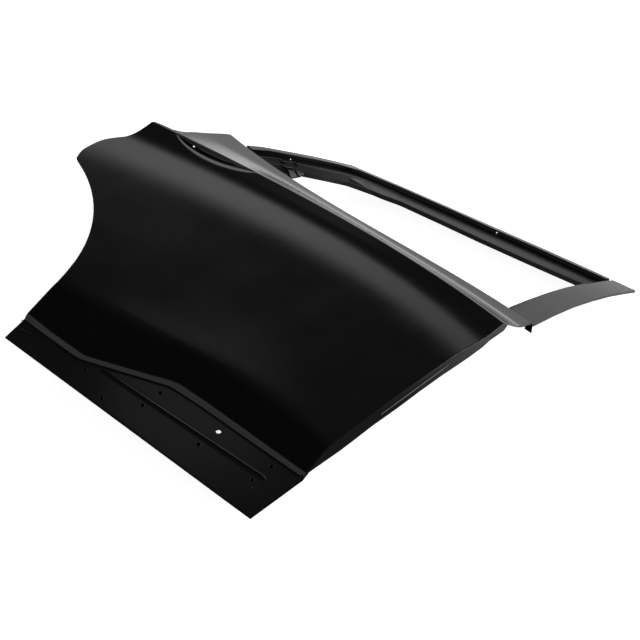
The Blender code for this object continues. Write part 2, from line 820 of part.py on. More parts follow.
def plate_ring(k, path, start=frame_foot_rise):
    """Ring of points behind the pillar plate, from a path of (distance from the window edge, depth)."""
    (xf, y), (xw, _) = edges_at(k, plate_shares)
    ring = []
    for u, v in path(xf - xw):
        x = xw + u
        yy = above_belt(x, start) if k == 0 else roof_line(x) if k == len(plate_shares) - 1 else y
        ring.append(on_glass(x, yy, v, upright=(k == 0)))
    return ring


def roof_line(x):
    """Top edge of the frame at its front end."""
    (xa, ya), (xb, yb) = (in_shares(*row[:2]) for row in header_shares[-2:])
    return ya + (yb - ya) * (x - xa) / (xb - xa)


plate_path = lambda width: thick(((0, plate_fold), (0, 0), (width, 0), (width, plate_fold_front)), frame_wall)
rings = [plate_ring(k, plate_path) for k in range(len(plate_shares))]
add("b_pillar_plate", rings_mesh("b_pillar_plate", rings), smooth=True)


def pillar_path(width):
    """Hat section behind the plate."""
    far = pillar_set_back + pillar_width
    return thick(((far, pillar_lip), (far, pillar_depth), (pillar_set_back, pillar_depth),
                  (pillar_set_back, pillar_under), (far + pillar_lip, pillar_under)), frame_wall)


rings = [plate_ring(k, pillar_path, frame_foot_rise + pillar_lip) for k in range(len(plate_shares))]
rings[-1] = [p.lerp(q, end_cut_share) for p, q in zip(rings[-1], rings[-2])]
add("frame_front_pillar", rings_mesh("frame_front_pillar", rings), smooth=True)


def run_path(width):
    """U section that holds the glass edge, open away from the pillar."""
    near, high = -seat_gap - (frame_wall + run_wall) / 2, plate_fold - run_lap
    return thick(((near - run_width, high), (near, high), (near, high + run_depth),
                  (near - run_width, high + run_depth)), run_wall)


# Front glass run: up the pillar, and below the window line straight down inside the door
window_x = plate_shares[0][2] * sill_length
rings = [[Vector((window_x + u, run_foot_share * belt_height + frame_foot_rise, run_foot_z - v))
          for u, v in run_path(0)]]
rings += [plate_ring(k, run_path, frame_foot_rise + run_depth) for k in range(len(plate_shares) - 2)]
add("frame_front_channel", rings_mesh("frame_front_channel", rings), smooth=True)


def open_run(name, low, high, foot_z, top_z):
    """Straight glass run channel inside the door, open forwards."""
    (xa, ya), (xb, yb) = low, high
    path = thick(((run_width, 0), (0, 0), (0, run_depth), (run_width, run_depth)), run_wall)
    return add(name, rings_mesh(name, [[Vector((x + u, y, z - v)) for u, v in path]
                                       for x, y, z in ((xa, ya, foot_z), (xb, yb, top_z))]))


rear_run_top_y = line_y("belt", rear_run_top_x + run_width) - belt_rail_low - run_wall / 2 - seat_gap
open_run("rear_glass_run", (rear_run_foot_x, rear_run_foot_share * belt_height),
         (rear_run_top_x, rear_run_top_y), rear_run_foot_z, rear_run_top_z)

# Feet that tie the frame to the inner panel
face_z = -panel_depth + seat_gap + strap_wall / 2
behind = seat_gap + (frame_wall + strap_wall) / 2


def foot(name, x, half, shift, depth, rises):
    """Strap from the back of the frame down to the face of the inner panel."""
    belt = line_y("belt", x)
    high, low, over, seat, end = rises
    pairs = [tuple(on_glass(x + side, belt + rise, depth + behind) for side in (-half, half)) for rise in (high, low)]
    between = (pairs[1][0].z + face_z) / 2
    for rise, z in ((over, between), (seat, face_z), (end, face_z)):
        pairs.append(tuple(Vector((x + side - shift, belt + rise, z)) for side in (-half, half)))
    return strap(name, pairs, strap_wall)


foot("frame_rear_foot", rear_foot_x, rear_foot_half, 0, rail_depth, rear_foot_rises)
foot("frame_front_foot", window_x + pillar_set_back + pillar_width / 2, front_foot_half, front_foot_shift,
     pillar_depth, front_foot_rises)

# Tab under the foot of the pillar plate
tab_x, tab_y = in_shares(plate_shares[0][1], plate_shares[0][0])
strap("frame_front_tab", [
    tuple(on_glass(tab_x - tab_set_in - u, above_belt(tab_x, tab_high), pillar_under + seat_gap)
          for u in (tab_width, 0)),
    tuple(Vector((tab_x - tab_set_in - u, above_belt(tab_x, tab_low), -tab_deep)) for u in (tab_width, 0)),
    tuple(Vector((tab_x + tab_reach - u, above_belt(tab_x, -tab_drop), -tab_deep)) for u in (tab_width, 0)),
], strap_wall)

# Bracket that ties the top rail to the pillar
gusset_y = roof_line(window_x) - gusset_drop
strap("frame_front_gusset", [
    tuple(on_glass(window_x + u, gusset_y + side, v + behind) for side in (-gusset_half, gusset_half))
    for u, v in ((-gusset_reach, rail_depth), (-gusset_bend, rail_depth),
                 (pillar_set_back + gusset_bend, pillar_depth), (pillar_width, pillar_depth))], strap_wall)

# Gusset in the lower rear corner of the window
corner_x = upright_shares[0][2] * sill_length
window_edge = [in_shares(*row[2:4]) for row in upright_shares]
window_edge[0] = (corner_x, above_belt(corner_x, frame_foot_rise))
seat_heights = (above_belt(corner_x, corner_gusset_high), window_edge[1][1],
                above_belt(corner_x, corner_gusset_low))
outline = [(polyline(window_edge, y) + corner_gusset_seat, y) for y in seat_heights]
outline += [(corner_x + u * gusset_width, above_belt(corner_x + u * gusset_width, v * gusset_height))
            for u, v in corner_gusset_shares]
gusset_rings = [[on_glass(x, y, corner_gusset_depth + side) for x, y in outline] for side in (0, strap_wall)]
add("frame_rear_corner_gusset", rings_mesh("frame_rear_corner_gusset", gusset_rings))

# Window line: a rail behind the skin and one on the inner panel
rail_rings = []
for k in range(belt_rail_rows + 1):
    x = belt_rail_rear_x + (belt_rail_front_x - belt_rail_rear_x) * k / belt_rail_rows
    y = line_y("belt", x)
    path = thick(((y - belt_rail_top, -belt_rail_lip), (y - belt_rail_top, -belt_rail_deep),
                  (y - belt_rail_low, -belt_rail_deep), (y - belt_rail_low, belt_rail_hem)), run_wall)
    rail_rings.append([Vector((x, yy, z)) for yy, z in path])
add("belt_rail_outer", rings_mesh("belt_rail_outer", rail_rings), smooth=True)
y = line_y("belt", sill_length / 2) - belt_inner_drop
fold("belt_rail_inner", ((y - belt_inner_foot, face_z), (y - belt_inner_step, face_z),
                         (y - belt_inner_step, belt_inner_z), (y, belt_inner_z), (y, belt_inner_z - belt_inner_lip)),
     strap_wall, belt_inner_rear_x, belt_inner_front_x)

# Side impact beam and its brackets
beam_a = Vector((beam_rear_shares[0] * sill_length, beam_rear_shares[1] * belt_height, beam_z))
beam_b = Vector((beam_front_shares[0] * sill_length, beam_front_shares[1] * belt_height, beam_z))


def tube(name, a, b, outer, inner, finish):
    """Open tube between two places."""
    work = bmesh.new()
    along = (b - a).normalized()
    across = Vector((0, 0, 1)).cross(along).normalized()
    up = along.cross(across)
    loops = []
    for place, radius in ((a, outer), (b, outer), (b, inner), (a, inner)):
        loops.append([work.verts.new(place + (across * math.cos(turn) + up * math.sin(turn)) * radius)
                      for turn in (2 * math.pi * k / beam_sides for k in range(beam_sides))])
    for loop, other in zip(loops, loops[1:] + loops[:1]):
        for k in range(beam_sides):
            j = (k + 1) % beam_sides
            work.faces.new((loop[k], loop[j], other[j], other[k]))
    return add(name, to_mesh(name, work), finish, smooth=True)


tube("impact_beam", beam_a, beam_b, beam_radius, beam_radius - beam_wall, "beam_primer")
land_z = land_depth + seat_gap + strap_wall / 2


def beam_bracket(name, x, y, way):
    """Plate from the seal land inwards, under one end of the beam."""
    path = ((x, land_z), (x + way * beam_bracket_reach, land_z),
            (x + way * (beam_bracket_reach + beam_bracket_drop), land_z - beam_bracket_drop))
    return fold_up(name, lambda _: path, strap_wall, y - beam_bracket_half, y + beam_bracket_half)


beam_bracket("beam_bracket_front", front_x(beam_b.y, land_in_front - bracket_on_land), beam_b.y, -1)
riser = ((rear_bracket_x, face_z), (rear_bracket_x + rear_bracket_foot, face_z),
         (rear_bracket_x + rear_bracket_foot, land_z), (rear_bracket_x + rear_bracket_reach, land_z))
fold_up("beam_bracket_rear", lambda _: riser, strap_wall, beam_a.y - beam_bracket_half, beam_a.y + beam_bracket_half)


def wall_path(wall, foot, top):
    """Path of a plate inside the front wall of the inner panel, at a height."""
    def path(y):
        land_x, face_x = front_x(y, land_in_front), front_x(y, face_in_front)
        slope = (land_x - face_x) / (land_depth + panel_depth)
        off = (wall / 2 + seat_gap) * math.hypot(1, slope)
        low = -panel_depth + seat_gap + wall / 2
        x_at = lambda z: face_x + slope * (z + panel_depth) - off
        return ((x_at(top), top), (x_at(low), low), (x_at(low) - foot, low))
    return path


plates = []
for name, share, half, wall in (("hinge_plate_upper", hinge_upper_share, hinge_half, hinge_wall),
                                ("check_link_plate", check_share, check_half, strap_wall),
                                ("hinge_plate_lower", hinge_lower_share, hinge_half, hinge_wall)):
    y = share * belt_height
    plates.append(fold_up(name, wall_path(wall, hinge_foot, 0.0), wall, y - half, y + half))


def nut_places(share):
    """Seats of two nuts on a hinge plate: place on its inner side and the direction out of the door."""
    y = share * belt_height
    found = []
    for side in (-bolt_spread, bolt_spread):
        land_x, face_x = front_x(y + side, land_in_front), front_x(y + side, face_in_front)
        slope = (land_x - face_x) / (land_depth + panel_depth)
        out = Vector((1, 0, -slope)).normalized()
        z = land_depth - nut_down
        place = Vector((face_x + slope * (z + panel_depth), y + side, z)) - out * (seat_gap * 2 + hinge_wall)
        found.append((place, out))
    return found


def turned(out):
    return out.to_track_quat("Z", "Y").to_matrix().to_4x4()


bolts = []
for name, share in (("upper", hinge_upper_share), ("lower", hinge_lower_share)):
    for side, (place, out) in zip(("low", "high"), nut_places(share)):
        turn = turned(out)
        loops = []
        for depth, radius in ((0, nut_half_flats), (nut_height, nut_half_flats), (nut_height, 0), (0, 0)):
            loop = []
            for k in range(bore_sides):
                angle = 2 * math.pi * k / bore_sides
                reach = radius / math.cos(math.pi / nut_sides) if k % 2 else radius
                reach = reach or bolt_radius
                loop.append(place + turn @ Vector((reach * math.cos(angle), reach * math.sin(angle), -depth)))
            loops.append(loop)
        work = bmesh.new()
        verts = [[work.verts.new(p) for p in loop] for loop in loops]
        for loop, other in zip(verts, verts[1:] + verts[:1]):
            for k in range(bore_sides):
                j = (k + 1) % bore_sides
                work.faces.new((loop[k], loop[j], other[j], other[k]))
        add("hinge_nut_" + name + "_" + side, to_mesh("hinge_nut", work), "zinc")
        bolts.append((place, turn))

bores = join_meshes("bolt_bores", [cylinder("bore", bolt_radius, bore_length, place, turn=turn)
                                   for place, turn in bolts])
for piece in (plates[0], plates[2]):
    cut(piece, bores)

# Latch reinforcement inside the rear wall
loops = panel_loops()[-2:]
rear_walls = [sorted(((p.x, p.y) for p in loop if p.x < 0 and p.y > tip_height), key=lambda q: q[1]) for loop in loops]


def latch_path(y):
    land_x, face_x = (polyline(wall, y) for wall in rear_walls)
    slope = (face_x - land_x) / (land_depth + panel_depth)
    off = (strap_wall / 2 + latch_gap) * math.hypot(1, slope)
    x_at = lambda z: face_x - slope * (z + panel_depth) + off
    return ((x_at(0.0), 0.0), (x_at(face_z), face_z), (x_at(face_z) + latch_foot, face_z))


fold_up("latch_plate", latch_path, strap_wall, latch_low_share * belt_height, latch_high_share * belt_height)

# Handle bracket behind the pocket
ends = []
for x in (pocket_rear + handle_plate_lip, pocket_front - handle_plate_lip):
    y = line_y("crease", x) - handle_plate_half
    path = thick(((y - handle_plate_half, handle_plate_z - handle_plate_lip), (y - handle_plate_half, handle_plate_z),
                  (y + handle_plate_half, handle_plate_z),
                  (y + handle_plate_half, handle_plate_z - handle_plate_lip)), strap_wall)
    ends.append([Vector((x, yy, z)) for yy, z in path])
add("handle_bracket", rings_mesh("handle_bracket", ends))

# Openings of the inner panel
holes = []
for xa, ya, xb, yb, round_share in panel_opening_shares:
    low, high = (xa * sill_length, ya * belt_height), (xb * sill_length, yb * belt_height)
    radius = min(high[0] - low[0], high[1] - low[1]) * round_share
    holes.append(rounded_prism("opening", low, high, radius, -panel_depth - land_depth, -panel_depth + land_depth))
for x, y in clip_shares:
    holes.append(cylinder("clip", bolt_radius, 2 * land_depth, Vector((x * sill_length, y * belt_height, -panel_depth))))
for place, turn in bolts:
    holes.append(cylinder("bore", bolt_radius, bore_length, place, turn=turn))
cut(panel, join_meshes("panel_holes", holes))

# The door lies on the lower edge of the inner panel's face and on the top rail
bpy.context.view_layer.update()
built = bpy.context.evaluated_depsgraph_get()


def corners():
    """Every point of the built pieces, in the door's axes."""
    found = []
    for piece in bpy.data.objects:
        if piece.type == "MESH" and not piece.hide_render:
            found += [v.co.copy() for v in piece.evaluated_get(built).data.vertices]
    return found


points = corners()
rest_y = face_in_sill
lay = max(math.atan2(-panel_depth - panel_wall - p.z, p.y - rest_y) for p in points if p.y > belt_height)
door.matrix_world = Matrix.Rotation(lay, 4, "X")
points = [door.matrix_world @ p for p in points]
low = Vector([min(p[i] for p in points) for i in range(3)])
high = Vector([max(p[i] for p in points) for i in range(3)])
middle = (low + high) / 2
door.matrix_world = Matrix.Translation((-middle.x, -middle.y, -low.z)) @ door.matrix_world
bpy.context.view_layer.update()
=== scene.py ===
"""Looks of a bare rear door shell in black primer, lying inner side down on a pale floor."""
import math

import bpy
import numpy as np
from mathutils import Euler, Matrix, Vector


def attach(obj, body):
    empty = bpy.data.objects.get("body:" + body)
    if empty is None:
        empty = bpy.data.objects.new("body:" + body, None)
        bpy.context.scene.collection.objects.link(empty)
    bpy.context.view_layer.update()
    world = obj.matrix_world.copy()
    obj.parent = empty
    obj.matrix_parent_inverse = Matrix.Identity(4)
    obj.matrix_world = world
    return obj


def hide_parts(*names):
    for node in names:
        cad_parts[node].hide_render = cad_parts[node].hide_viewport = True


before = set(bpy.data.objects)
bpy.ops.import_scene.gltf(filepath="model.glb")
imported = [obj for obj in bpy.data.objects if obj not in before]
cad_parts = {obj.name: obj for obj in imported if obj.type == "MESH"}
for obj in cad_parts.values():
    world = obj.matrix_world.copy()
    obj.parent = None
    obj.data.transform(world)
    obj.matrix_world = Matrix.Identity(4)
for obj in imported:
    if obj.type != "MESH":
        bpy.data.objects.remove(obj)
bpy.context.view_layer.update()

# Where the door lies: its own axes are X forward, Y up the door and Z outboard
LAY_ANGLE = 0.08843485
LAY_PLACE = (-0.19731, -0.598607, 0.051638)
to_floor = Matrix.Translation(LAY_PLACE) @ Matrix.Rotation(LAY_ANGLE, 4, "X")

# Door sizes, as in the part
SILL_LENGTH = 0.693
TAIL_REACH = 0.303
BELT_HEIGHT = 0.822
ARCH_RADIUS = 0.408
ARCH_BACK = 0.409
ARCH_UP = 0.059
TIP_HEIGHT = 0.448
BULGE = 0.050
FRONT_LEAN = 0.0075
FOOT_SET_BACK = 0.0105
SKIN_WALL = 0.0008
HEM_FOLD = 0.0034
HEM_REACH = 0.006
EDGE_ROLL = 0.0013
BELT_RETURN = 0.012
# Upper edge of the step over the skirt, and how wide the step's face is
STEP_TOP = ((-0.31, 0.066), (0.155, 0.068), (0.335, 0.1455), (0.42, 0.1495), (0.70, 0.1510))
STEP_FACE = ((-0.01, 0.006), (0.06, 0.010), (0.16, 0.0083), (0.31, 0.0083), (0.36, 0.008), (0.70, 0.007))
# Width that the step's bends are rounded over, and half the number of points it is averaged at
STEP_TURN = 0.012
TURN_POINTS = 3
# Stiffening bead under the step: ends, half width, height and the length that its ends fade over
BEAD_REAR = (0.206, 0.0748)
BEAD_FRONT = (0.644, 0.0940)
BEAD_HALF = 0.0027
BEAD_RISE = 0.0015
BEAD_END = 0.006
# Clip and drain holes of the skirt, with their radius
CLIP_HOLES = (
    (0.014, 0.038, 0.0030), (0.033, 0.047, 0.0030), (0.180, 0.052, 0.0032), (0.264, 0.019, 0.0034),
    (0.333, 0.063, 0.0036), (0.332, 0.112, 0.0036), (0.488, 0.118, 0.0052), (0.486, 0.066, 0.0042),
    (0.625, 0.073, 0.0036), (0.641, 0.058, 0.0018), (0.648, 0.051, 0.0018), (0.626, 0.124, 0.0036),
)
COLLAR_WALL = 0.0006
HOLE_SIDES = 32
ROD_SIDES = 12
DRILL_SIDES = 24
COLLAR_SIDES = (24, 8)
DRILL_LENGTH = 0.30
# Gauge holes that show daylight: place, direction and radius. They are drilled on the slanting line that the
# photograph looks along, where real ones are punched square
GAUGE_WAY = (0.5613, -0.571, 0.5991)
UPRIGHT_HOLE = ((-0.0570, 0.8804, -0.0298), GAUGE_WAY, 0.0013)
HEADER_HOLE = ((0.3536, 1.1214, -0.1200), GAUGE_WAY, 0.0012)
POCKET_HOLE = ((-0.1596, 0.6776, 0.0484), GAUGE_WAY, 0.0016)
# Handle pocket under the crease: its ends, width and depth, how much shallower its front end is, the least
# height of the rows beside it, and how blunt its ends are
POCKET_REAR = -0.212
POCKET_FRONT = 0.003
POCKET_WIDTH = 0.0375
POCKET_DEPTH = 0.0115
POCKET_SHALLOWER = 0.55
POCKET_RIM = 0.009
POCKET_ROUND = 0.62
# In shares of the pocket's width: where its upper wall starts and how far it runs, and how far its floor runs
ROOF_START = 0.02
ROOF_RUN = 0.16
FLOOR_RUN = 0.90
LEAST_SHARE = 0.000001
CREASE_HALF = 0.0045

# Pressed lines of the skin, at the tail, the rear foot, mid sill and the front: height in shares of the
# window line's, how far it stands out in shares of the bulge, and half the width it is rounded over
LINES = {
    "sill": ((0.0, 0.0, 0.0, 0.0), (0.0, 0.0, 0.0, 0.0), 0.003),
    "low": (None, (0.09, 0.09, 0.09, 0.12), 0.004),
    "top": (None, (0.30, 0.30, 0.31, 0.30), 0.005),
    "flare": ((0.183, 0.183, 0.244, 0.249), (1.10, 1.10, 1.04, 0.96), 0.020),
    "band": ((0.292, 0.292, 0.292, 0.292), (1.18, 1.18, 1.11, 1.03), 0.030),
    "body": ((0.517, 0.468, 0.486, 0.486), (1.24, 1.22, 1.21, 1.17), 0.080),
    "shoulder": ((0.592, 0.669, 0.718, 0.688), (1.20, 1.22, 1.25, 1.26), 0.050),
    "groove": ((0.731, 0.803, 0.843, 0.809), (1.03, 1.02, 1.05, 1.03), 0.026),
    "crease": ((0.805, 0.859, 0.894, 0.883), (1.142, 1.147, 1.161, 1.161), CREASE_HALF),
    "waist": ((0.929, 0.928, 0.952, 0.954), (0.48, 0.38, 0.30, 0.26), 0.024),
    "belt": ((1.016, 0.973, 0.989, 1.000), (0.08, 0.06, 0.06, 0.04), 0.003),
}
# Rear shut line above the arch, up to the corner and from the corner up
TAIL_LINE = (
    (-0.2851, 0.4480), (-0.2980, 0.4750), (-0.3019, 0.5014), (-0.3012, 0.5392), (-0.2900, 0.5696),
    (-0.2800, 0.5902), (-0.2762, 0.6239), (-0.2770, 0.6560),
)
CORNER_LINE = (
    (-0.2775, 0.6640), (-0.2740, 0.6690), (-0.2580, 0.6750), (-0.2420, 0.6785), (-0.2210, 0.6815),
    (-0.2140, 0.6850),
    (-0.2120, 0.6920), (-0.2115, 0.7190), (-0.2040, 0.7480), (-0.1955, 0.7760), (-0.1865, 0.8030),
    (-0.1740, 0.8230),
)
TAIL_STEPS = 8


def mesh_step(t):
    """Even ease from zero to one."""
    t = np.clip(t, 0.0, 1.0)
    return t * t * (3 - 2 * t)


def rounded_line(points, x):
    """A line through points, with its bends rounded."""
    xs, ys = zip(*points)
    shifts = [STEP_TURN * k / TURN_POINTS for k in range(-TURN_POINTS, TURN_POINTS + 1)]
    return sum(np.interp(x + shift, xs, ys) for shift in shifts) / len(shifts)


STATIONS = (-TAIL_REACH, 0.0, SILL_LENGTH / 2, SILL_LENGTH)


def through_stations(values):
    """Smooth curve along the door through the values at its stations."""
    return None if values is None else np.poly1d(np.polyfit(STATIONS, values, len(STATIONS) - 1))


curves = {
    name: (through_stations(heights), through_stations(out)) for name, (heights, out, _) in LINES.items()
}


def line_y(name, x):
    """Height of a pressed line."""
    if name in ("low", "top"):
        top = rounded_line(STEP_TOP, x)
        return top if name == "top" else top - rounded_line(STEP_FACE, x)
    return BELT_HEIGHT * curves[name][0](x)


def ramp(t, half):
    """Zero below, rising one for one above, with a smooth turn between."""
    u = np.clip((t + half) / (2 * half), 0.0, 1.0)
    return np.where(t > half, t, 2 * half * (u ** 3 - u ** 4 / 2))


def skin_z(x, y):
    """How far the skin stands out."""
    names = list(LINES)
    ys = [line_y(name, x) for name in names]
    zs = [BULGE * curves[name][1](x) for name in names]
    slopes = [(zs[i + 1] - zs[i]) / (ys[i + 1] - ys[i]) for i in range(len(names) - 1)]
    z = zs[0] + slopes[0] * (y - ys[0])
    for i in range(1, len(slopes)):
        z = z + (slopes[i] - slopes[i - 1]) * ramp(y - ys[i], LINES[names[i]][2])
    return z


foot_x = -ARCH_BACK + ARCH_RADIUS - FOOT_SET_BACK
foot_top = ARCH_UP + math.sqrt(ARCH_RADIUS ** 2 - (foot_x + ARCH_BACK) ** 2)


def smooth_through(points, steps):
    """Closer points on a smooth curve through the given ones."""
    found = []
    points = [np.array(p) for p in points]
    last = len(points) - 1
    for i in range(last):
        a, b, c, d = points[max(0, i - 1)], points[i], points[i + 1], points[min(last, i + 2)]
        for k in range(steps):
            t = k / steps
            cube = 3 * (b - c) + d - a
            square = 2 * a - 5 * b + 4 * c - d
            found.append(tuple(b + 0.5 * t * (c - a + t * (square + t * cube))))
    return found + [tuple(points[-1])]


shut = smooth_through(TAIL_LINE, TAIL_STEPS) + list(CORNER_LINE)
shut_x, shut_y = np.array([p[0] for p in shut]), np.array([p[1] for p in shut])


def rear_x(y):
    """Rear edge of the skin."""
    if y < foot_top:
        return foot_x * min(1.0, max(0.0, y) / ARCH_UP)
    if y < TIP_HEIGHT:
        return -ARCH_BACK + math.sqrt(ARCH_RADIUS ** 2 - (y - ARCH_UP) ** 2)
    return float(np.interp(y, shut_y, shut_x))


def front_x(y):
    """Front edge of the skin."""
    return SILL_LENGTH - FRONT_LEAN * y / BELT_HEIGHT


def pocket_share(x):
    """Zero outside the handle pocket, one at its widest."""
    t = np.clip((x - POCKET_REAR) / (POCKET_FRONT - POCKET_REAR), 0.0, 1.0)
    return np.sin(np.pi * t) ** POCKET_ROUND * (t > 0) * (t < 1)


def bead_y(x):
    """Middle of the bead, with its front end hooked down, and clear of the step behind its rear end."""
    t = (x - BEAD_REAR[0]) / (BEAD_FRONT[0] - BEAD_REAR[0])
    hook = BEAD_HALF * mesh_step((x - BEAD_FRONT[0] + 2 * BEAD_END) / (2 * BEAD_END))
    straight = BEAD_REAR[1] + (BEAD_FRONT[1] - BEAD_REAR[1]) * t - hook
    return np.minimum(straight, np.maximum(line_y("low", x) - 2 * BEAD_HALF, 2 * BEAD_HALF))


def relief(x, y):
    """Bead and handle pocket, added to the skin."""
    ends = mesh_step((x - BEAD_REAR[0]) / BEAD_END) * mesh_step((BEAD_FRONT[0] - x) / BEAD_END)
    across = np.clip(1 - np.abs(y - bead_y(x)) / BEAD_HALF, 0.0, 1.0)
    bead = BEAD_RISE * ends * mesh_step(across)
    share = pocket_share(x)
    width = POCKET_WIDTH * np.maximum(share, LEAST_SHARE)
    down = (line_y("crease", x) - y) / width
    wall_up, wall_low = mesh_step((down - ROOF_START) / ROOF_RUN), mesh_step((1.0 - down) / FLOOR_RUN)
    along = (x - POCKET_REAR) / (POCKET_FRONT - POCKET_REAR)
    depth = POCKET_DEPTH * share * (1 - POCKET_SHALLOWER * along)
    pocket = -depth * wall_up * wall_low * (down > 0) * (down < 1)
    return bead + pocket


# Rows of the skin's surface: distances between its lines, then each line with the number of rows up to it
SILL_ROWS = (0.0004, 0.0016, 0.012)
STEP_BELOW = 0.004
STEP_ABOVE = 0.005
RIM_BELOW = 1.04
RAMP_START = 0.010
BELT_BELOW = 0.006


def fixed(value):
    return lambda x: value + 0 * x


def beside(name, distance=0.0):
    return lambda x: line_y(name, x) + distance


def pocket_rim(x):
    return line_y("crease", x) - RIM_BELOW * np.maximum(POCKET_RIM, POCKET_WIDTH * pocket_share(x))


ROW_BANDS = (
    (fixed(0.0), 0), (fixed(SILL_ROWS[0]), 1), (fixed(SILL_ROWS[1]), 2), (fixed(SILL_ROWS[2]), 3),
    (lambda x: bead_y(x) - BEAD_HALF, 8), (lambda x: bead_y(x) + BEAD_HALF, 8),
    (beside("low", -STEP_BELOW), 7), (beside("top", STEP_ABOVE), 12),
    (beside("flare"), 9), (beside("band"), 6), (beside("body"), 12), (beside("shoulder"), 14),
    (beside("groove"), 12), (pocket_rim, 8), (beside("crease", -CREASE_HALF), 16),
    (beside("crease", CREASE_HALF), 12), (beside("crease", RAMP_START), 6), (beside("waist"), 20),
    (beside("belt", -BELT_BELOW), 10), (beside("belt"), 5),
)
COLUMNS = 190
EDGE_STEPS = (0.0, 0.0003, 0.0008, 0.0016, 0.0035, 0.007)
HALVINGS = 40


def skin_rows():
    """Height of each row, as a function of the place along the door."""
    rows = [ROW_BANDS[0][0]]
    for (low, _), (high, count) in zip(ROW_BANDS, ROW_BANDS[1:]):
        for k in range(1, count + 1):
            rows.append(lambda x, a=low, b=high, t=k / count: a(x) + (b(x) - a(x)) * t)
    return rows


def meet_rear(height):
    """Place where a row meets the rear edge."""
    low, high = -SILL_LENGTH / 2, SILL_LENGTH / 2
    for _ in range(HALVINGS):
        mid = (low + high) / 2
        low, high = (mid, high) if mid < rear_x(float(height(mid))) else (low, mid)
    return high


def rolled(distance):
    """How far the rim is rolled down, by the distance from the edge."""
    d = np.clip(distance, 0.0, EDGE_ROLL)
    return EDGE_ROLL - np.sqrt(EDGE_ROLL ** 2 - (EDGE_ROLL - d) ** 2)


def only(piece):
    """Selects one object and makes it active."""
    if bpy.context.mode != "OBJECT":
        bpy.ops.object.mode_set(mode="OBJECT")
    bpy.ops.object.select_all(action="DESELECT")
    piece.select_set(True)
    bpy.context.view_layer.objects.active = piece


def apply_modifier(piece, kind, **settings):
    """Adds a modifier and applies it."""
    only(piece)
    step = piece.modifiers.new(kind.lower(), kind)
    for name, value in settings.items():
        setattr(step, name, value)
    bpy.ops.object.modifier_apply(modifier=step.name)


def pull_edges(piece, chain, moved):
    """Extrudes a chain of edges and puts each new point where moved says."""
    only(piece)
    mesh = piece.data
    for part in (mesh.polygons, mesh.edges, mesh.vertices):
        part.foreach_set("select", [False] * len(part))
    chosen = set(chain)
    ends = {frozenset(pair) for pair in zip(chain, chain[1:])}
    for edge in mesh.edges:
        edge.select = frozenset(edge.vertices) in ends
    for i in chosen:
        mesh.vertices[i].select = True
    before = len(mesh.vertices)
    bpy.ops.object.mode_set(mode="EDIT")
    bpy.ops.mesh.select_mode(type="EDGE")
    bpy.ops.mesh.extrude_edges_move()
    bpy.ops.object.mode_set(mode="OBJECT")
    mesh = piece.data
    source = {}
    for edge in mesh.edges:
        a, b = sorted(edge.vertices)
        if a < before <= b:
            source[a] = b
    for i in chain:
        mesh.vertices[source[i]].co = moved[i]
    return [source[i] for i in chain]


def place(piece):
    """Lays a piece that was drawn in the door's axes down on the floor, with its place in its mesh."""
    piece.data.transform(to_floor)
    piece.data.update()


def pressed_skin():
    """Outer skin: its surface, the hem folded under its edges, the return at the window line and its wall."""
    rows = skin_rows()
    starts = [meet_rear(f) for f in rows]
    steps = np.array(EDGE_STEPS)
    columns = COLUMNS + 2 * len(EDGE_STEPS) - 1
    bpy.ops.mesh.primitive_grid_add(x_subdivisions=columns - 1, y_subdivisions=len(rows) - 1, size=1)
    piece = bpy.context.object
    piece.name = piece.data.name = "skin_pressing"
    places = np.zeros((len(rows), columns, 3))
    for k, (height, xr) in enumerate(zip(rows, starts)):
        xf = front_x(float(height(SILL_LENGTH)))
        inner = np.linspace(xr + steps[-1], xf - steps[-1], COLUMNS + 1)
        x = np.concatenate([xr + steps[:-1], inner, xf - steps[-2::-1]])
        y = height(x) if k else 0 * x
        edge = np.minimum(np.minimum(x - xr, xf - x), y)
        places[k, :, 0], places[k, :, 1] = x, y
        places[k, :, 2] = skin_z(x, y) + relief(x, y) - rolled(np.maximum(edge, 0))
    piece.data.vertices.foreach_set("co", places.reshape(-1))
    piece.data.update()
    index = np.arange(len(rows) * columns).reshape(len(rows), columns)
    hem = list(index[::-1, 0]) + list(index[0, 1:]) + list(index[1:, -1])
    hem = [int(i) for i in hem]
    co = {i: piece.data.vertices[i].co.copy() for i in hem}
    normals = {i: piece.data.vertices[i].normal.copy() for i in hem}
    if sum(n.z for n in normals.values()) < 0:
        raise SystemExit("skin faces the wrong way")
    inward = {}
    for n, i in enumerate(hem):
        a, b = co[hem[max(0, n - 1)]], co[hem[min(len(hem) - 1, n + 1)]]
        inward[i] = Vector((0, 0, 1)).cross(b - a).normalized()
    under = {i: co[i] - Vector((0, 0, HEM_FOLD - EDGE_ROLL)) for i in hem}
    first = pull_edges(piece, hem, under)
    back = {new: under[old] + inward[old] * HEM_REACH for new, old in zip(first, hem)}
    pull_edges(piece, first, back)
    top = [int(i) for i in index[-1, 1:-1]]
    turned = {i: piece.data.vertices[i].co + Vector((0, SKIN_WALL, -BELT_RETURN)) for i in top}
    pull_edges(piece, top, turned)
    apply_modifier(piece, "SOLIDIFY", thickness=SKIN_WALL, offset=-1)
    return piece


def add_cylinder(radius, depth, at, sides=HOLE_SIDES):
    bpy.ops.mesh.primitive_cylinder_add(vertices=sides, radius=radius, depth=depth, location=at)
    return bpy.context.object


def collar(x, y, radius):
    """Rounded rim round a punched hole."""
    around, across = COLLAR_SIDES
    bpy.ops.mesh.primitive_torus_add(
        major_segments=around, minor_segments=across, major_radius=radius + COLLAR_WALL,
        minor_radius=COLLAR_WALL, location=(x, y, float(skin_z(x, y))))
    return bpy.context.object


